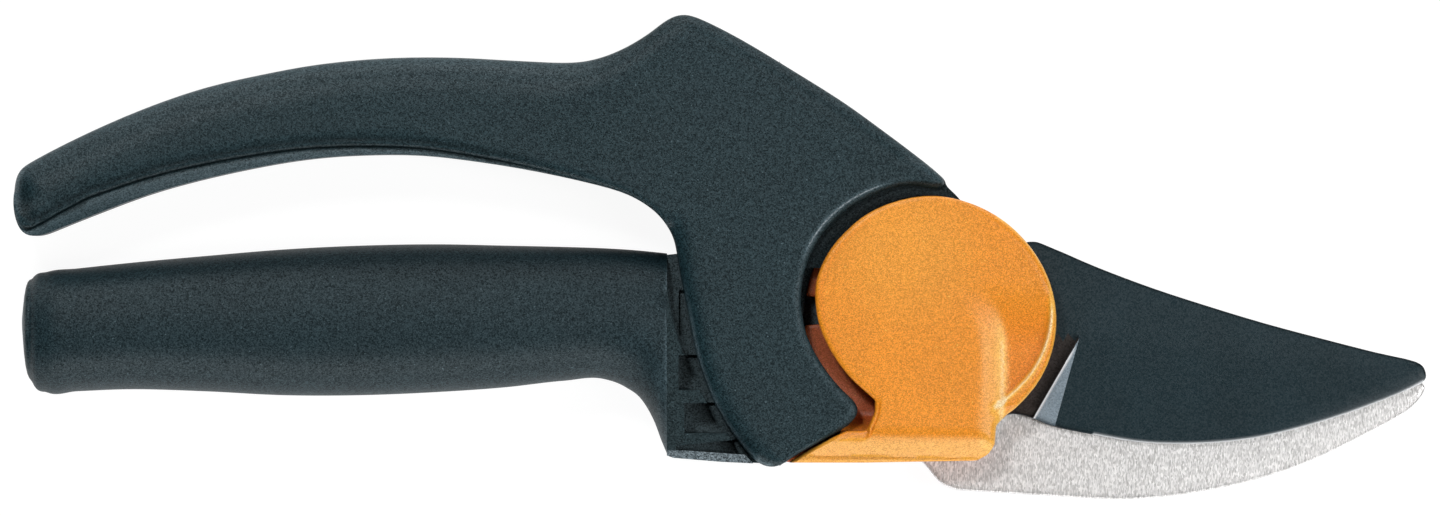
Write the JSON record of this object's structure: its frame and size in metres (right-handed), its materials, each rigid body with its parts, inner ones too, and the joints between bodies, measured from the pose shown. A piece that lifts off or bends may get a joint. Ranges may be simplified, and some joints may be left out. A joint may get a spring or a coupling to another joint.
{
  "type": "bypass pruner",
  "caption": "Gear-assisted bypass pruner, closed, with a fixed hooked counter-blade, a coated cutting blade, a round hub and two moulded handles.",
  "frame": {"origin": "on the cutting blade's pivot axis, at the flat surface the tool lies on, which is the rear face of the pivot bolt's head", "axes": "+X towards the blade tip, +Y towards the upper handle, +Z away from the surface the tool lies on, along both pivots"},
  "size_m": [0.2158, 0.074, 0.0225],
  "materials": {
    "frame_plastic": "moulded black nylon, fine matte",
    "handle_plastic": "moulded charcoal nylon with a fine spark-eroded grain",
    "grip_rubber": "matte charcoal soft grip",
    "buffer_rubber": "matte black rubber",
    "orange_plastic": "moulded orange nylon, satin with a fine grain",
    "ground_steel": "cross-ground bare steel",
    "coated_steel": "dark low-friction coating on steel",
    "zinc_steel": "zinc-plated steel",
    "gear_steel": "sintered steel, oiled",
    "bronze": "sintered bronze"
  },
  "bodies": {
    "frame": {"core_frame": "frame_plastic", "lower_grip": "grip_rubber", "front_cover": "orange_plastic", "rear_cover": "orange_plastic", "hook_blade": "ground_steel", "hook_rivets": "zinc_steel", "cover_screws": "zinc_steel", "pivot_bolt": "zinc_steel", "pivot_washer": "zinc_steel", "pivot_nut": "zinc_steel", "handle_pin": "zinc_steel", "stop_buffer": "buffer_rubber", "lock_detent": "zinc_steel"},
    "handle": {"upper_handle": "handle_plastic", "head_rear_shell": "handle_plastic", "head_screws": "zinc_steel", "handle_gear": "gear_steel", "gear_pins": "zinc_steel", "handle_bushes": "bronze", "return_spring": "zinc_steel"},
    "blade": {"cutting_blade": "coated_steel", "blade_gear": "gear_steel", "blade_bush": "bronze", "blade_rivets": "zinc_steel"},
    "lock": {"lock_slider": "orange_plastic"}
  },
  "joints": [
    {"name": "handle_hinge", "type": "hinge", "parent": "frame", "child": "handle", "pos_m": [0.006, 0.011, 0.0105], "axis": [0, 0, 1], "range_deg": [-34, 0], "deforming": ["return_spring"]},
    {"name": "blade_hinge", "type": "hinge", "parent": "frame", "child": "blade", "pos_m": [0, 0, 0.0125], "axis": [0, 0, 1], "range_deg": [0, 28]},
    {"name": "lock_slide", "type": "slide", "parent": "frame", "child": "lock", "axis": [-1, 0, 0], "range_m": [0, 0.0075]}
  ],
  "couplings": [
    {"joint": "blade_hinge", "follows": "handle_hinge", "ratio": -0.81818}
  ]
}
